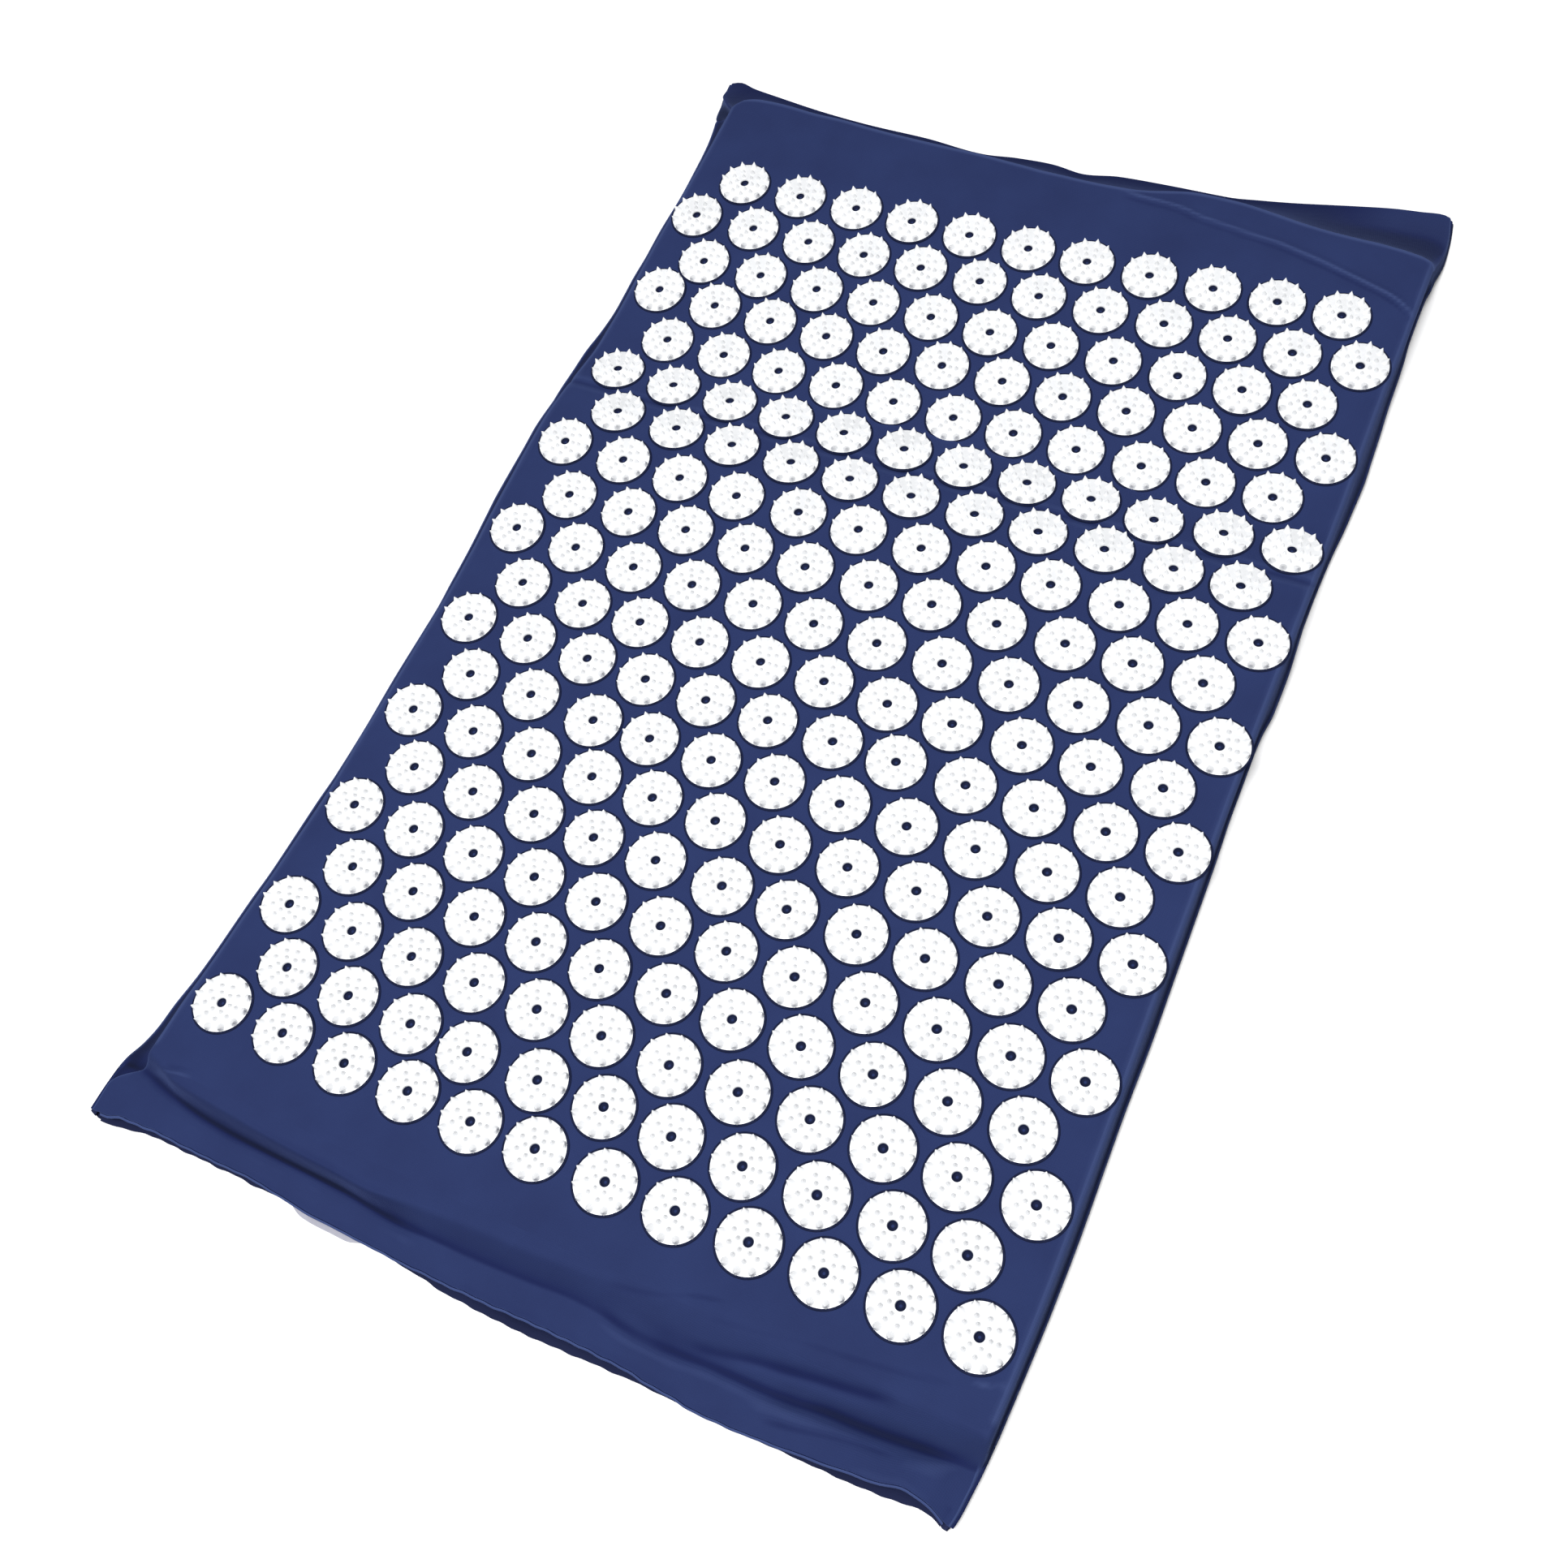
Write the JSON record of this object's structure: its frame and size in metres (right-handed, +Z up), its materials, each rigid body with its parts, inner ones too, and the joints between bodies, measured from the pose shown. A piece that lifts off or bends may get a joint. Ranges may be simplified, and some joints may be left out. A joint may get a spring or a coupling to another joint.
{
  "type": "acupressure mat",
  "caption": "Padded mat: a foam core in a navy cotton cover with staggered rows of white spiked plastic discs on top; folds once across and opens at one end.",
  "frame": {"origin": "middle of the bounding box, on the plane that the mat lies on", "axes": "+X across the mat to the right seen from its mouth, +Y along the mat from the open mouth to the closed end, +Z up out of the spikes"},
  "size_m": [0.4396, 0.718, 0.0288],
  "materials": {
    "cotton_upper": "plain-woven navy cotton, matt",
    "cotton_lower": "plain-woven navy cotton, matt, in shade",
    "cotton_hem": "folded and stitched navy cotton",
    "cotton_seam": "two plies of navy cotton, overlocked",
    "foam": "open-cell polyurethane foam",
    "hook_nylon": "hook tape",
    "loop_nylon": "loop tape",
    "label_satin": "blank pale satin label",
    "disc_plastic": "moulded white plastic, glossy"
  },
  "bodies": {
    "near_section": {"foam_core_near": "foam", "cover_top_near": "cotton_upper", "cover_bottom_near": "cotton_lower", "mouth_lower_hem": "cotton_hem", "loop_tape": "loop_nylon", "care_label": "label_satin", "side_seam_left_near": "cotton_seam", "side_seam_right_near": "cotton_seam", "rosette_row_07": "disc_plastic", "rosette_row_08": "disc_plastic", "rosette_row_09": "disc_plastic", "rosette_row_10": "disc_plastic", "rosette_row_11": "disc_plastic", "rosette_row_12": "disc_plastic", "rosette_row_13": "disc_plastic", "rosette_row_14": "disc_plastic", "rosette_row_15": "disc_plastic", "rosette_row_16": "disc_plastic", "rosette_row_17": "disc_plastic", "rosette_row_18": "disc_plastic", "rosette_row_19": "disc_plastic", "rosette_row_20": "disc_plastic"},
    "far_section": {"foam_core_far": "foam", "cover_top_far": "cotton_upper", "cover_bottom_far": "cotton_lower", "side_seam_left_far": "cotton_seam", "side_seam_right_far": "cotton_seam", "end_seam": "cotton_seam", "rosette_row_01": "disc_plastic", "rosette_row_02": "disc_plastic", "rosette_row_03": "disc_plastic", "rosette_row_04": "disc_plastic", "rosette_row_05": "disc_plastic", "rosette_row_06": "disc_plastic"},
    "mouth_lip": {"mouth_flap": "cotton_upper", "mouth_flap_hem": "cotton_hem", "hook_tape": "hook_nylon"}
  },
  "joints": [
    {"name": "mat_fold", "type": "hinge", "parent": "near_section", "child": "far_section", "pos_m": [0.01225, 0.101, 0.02685], "axis": [1, 0, 0], "range_deg": [0, 180]},
    {"name": "mouth_open", "type": "hinge", "parent": "near_section", "child": "mouth_lip", "pos_m": [0.01225, -0.319, 0.0202], "axis": [-1, 0, 0], "range_deg": [0, 40]}
  ]
}
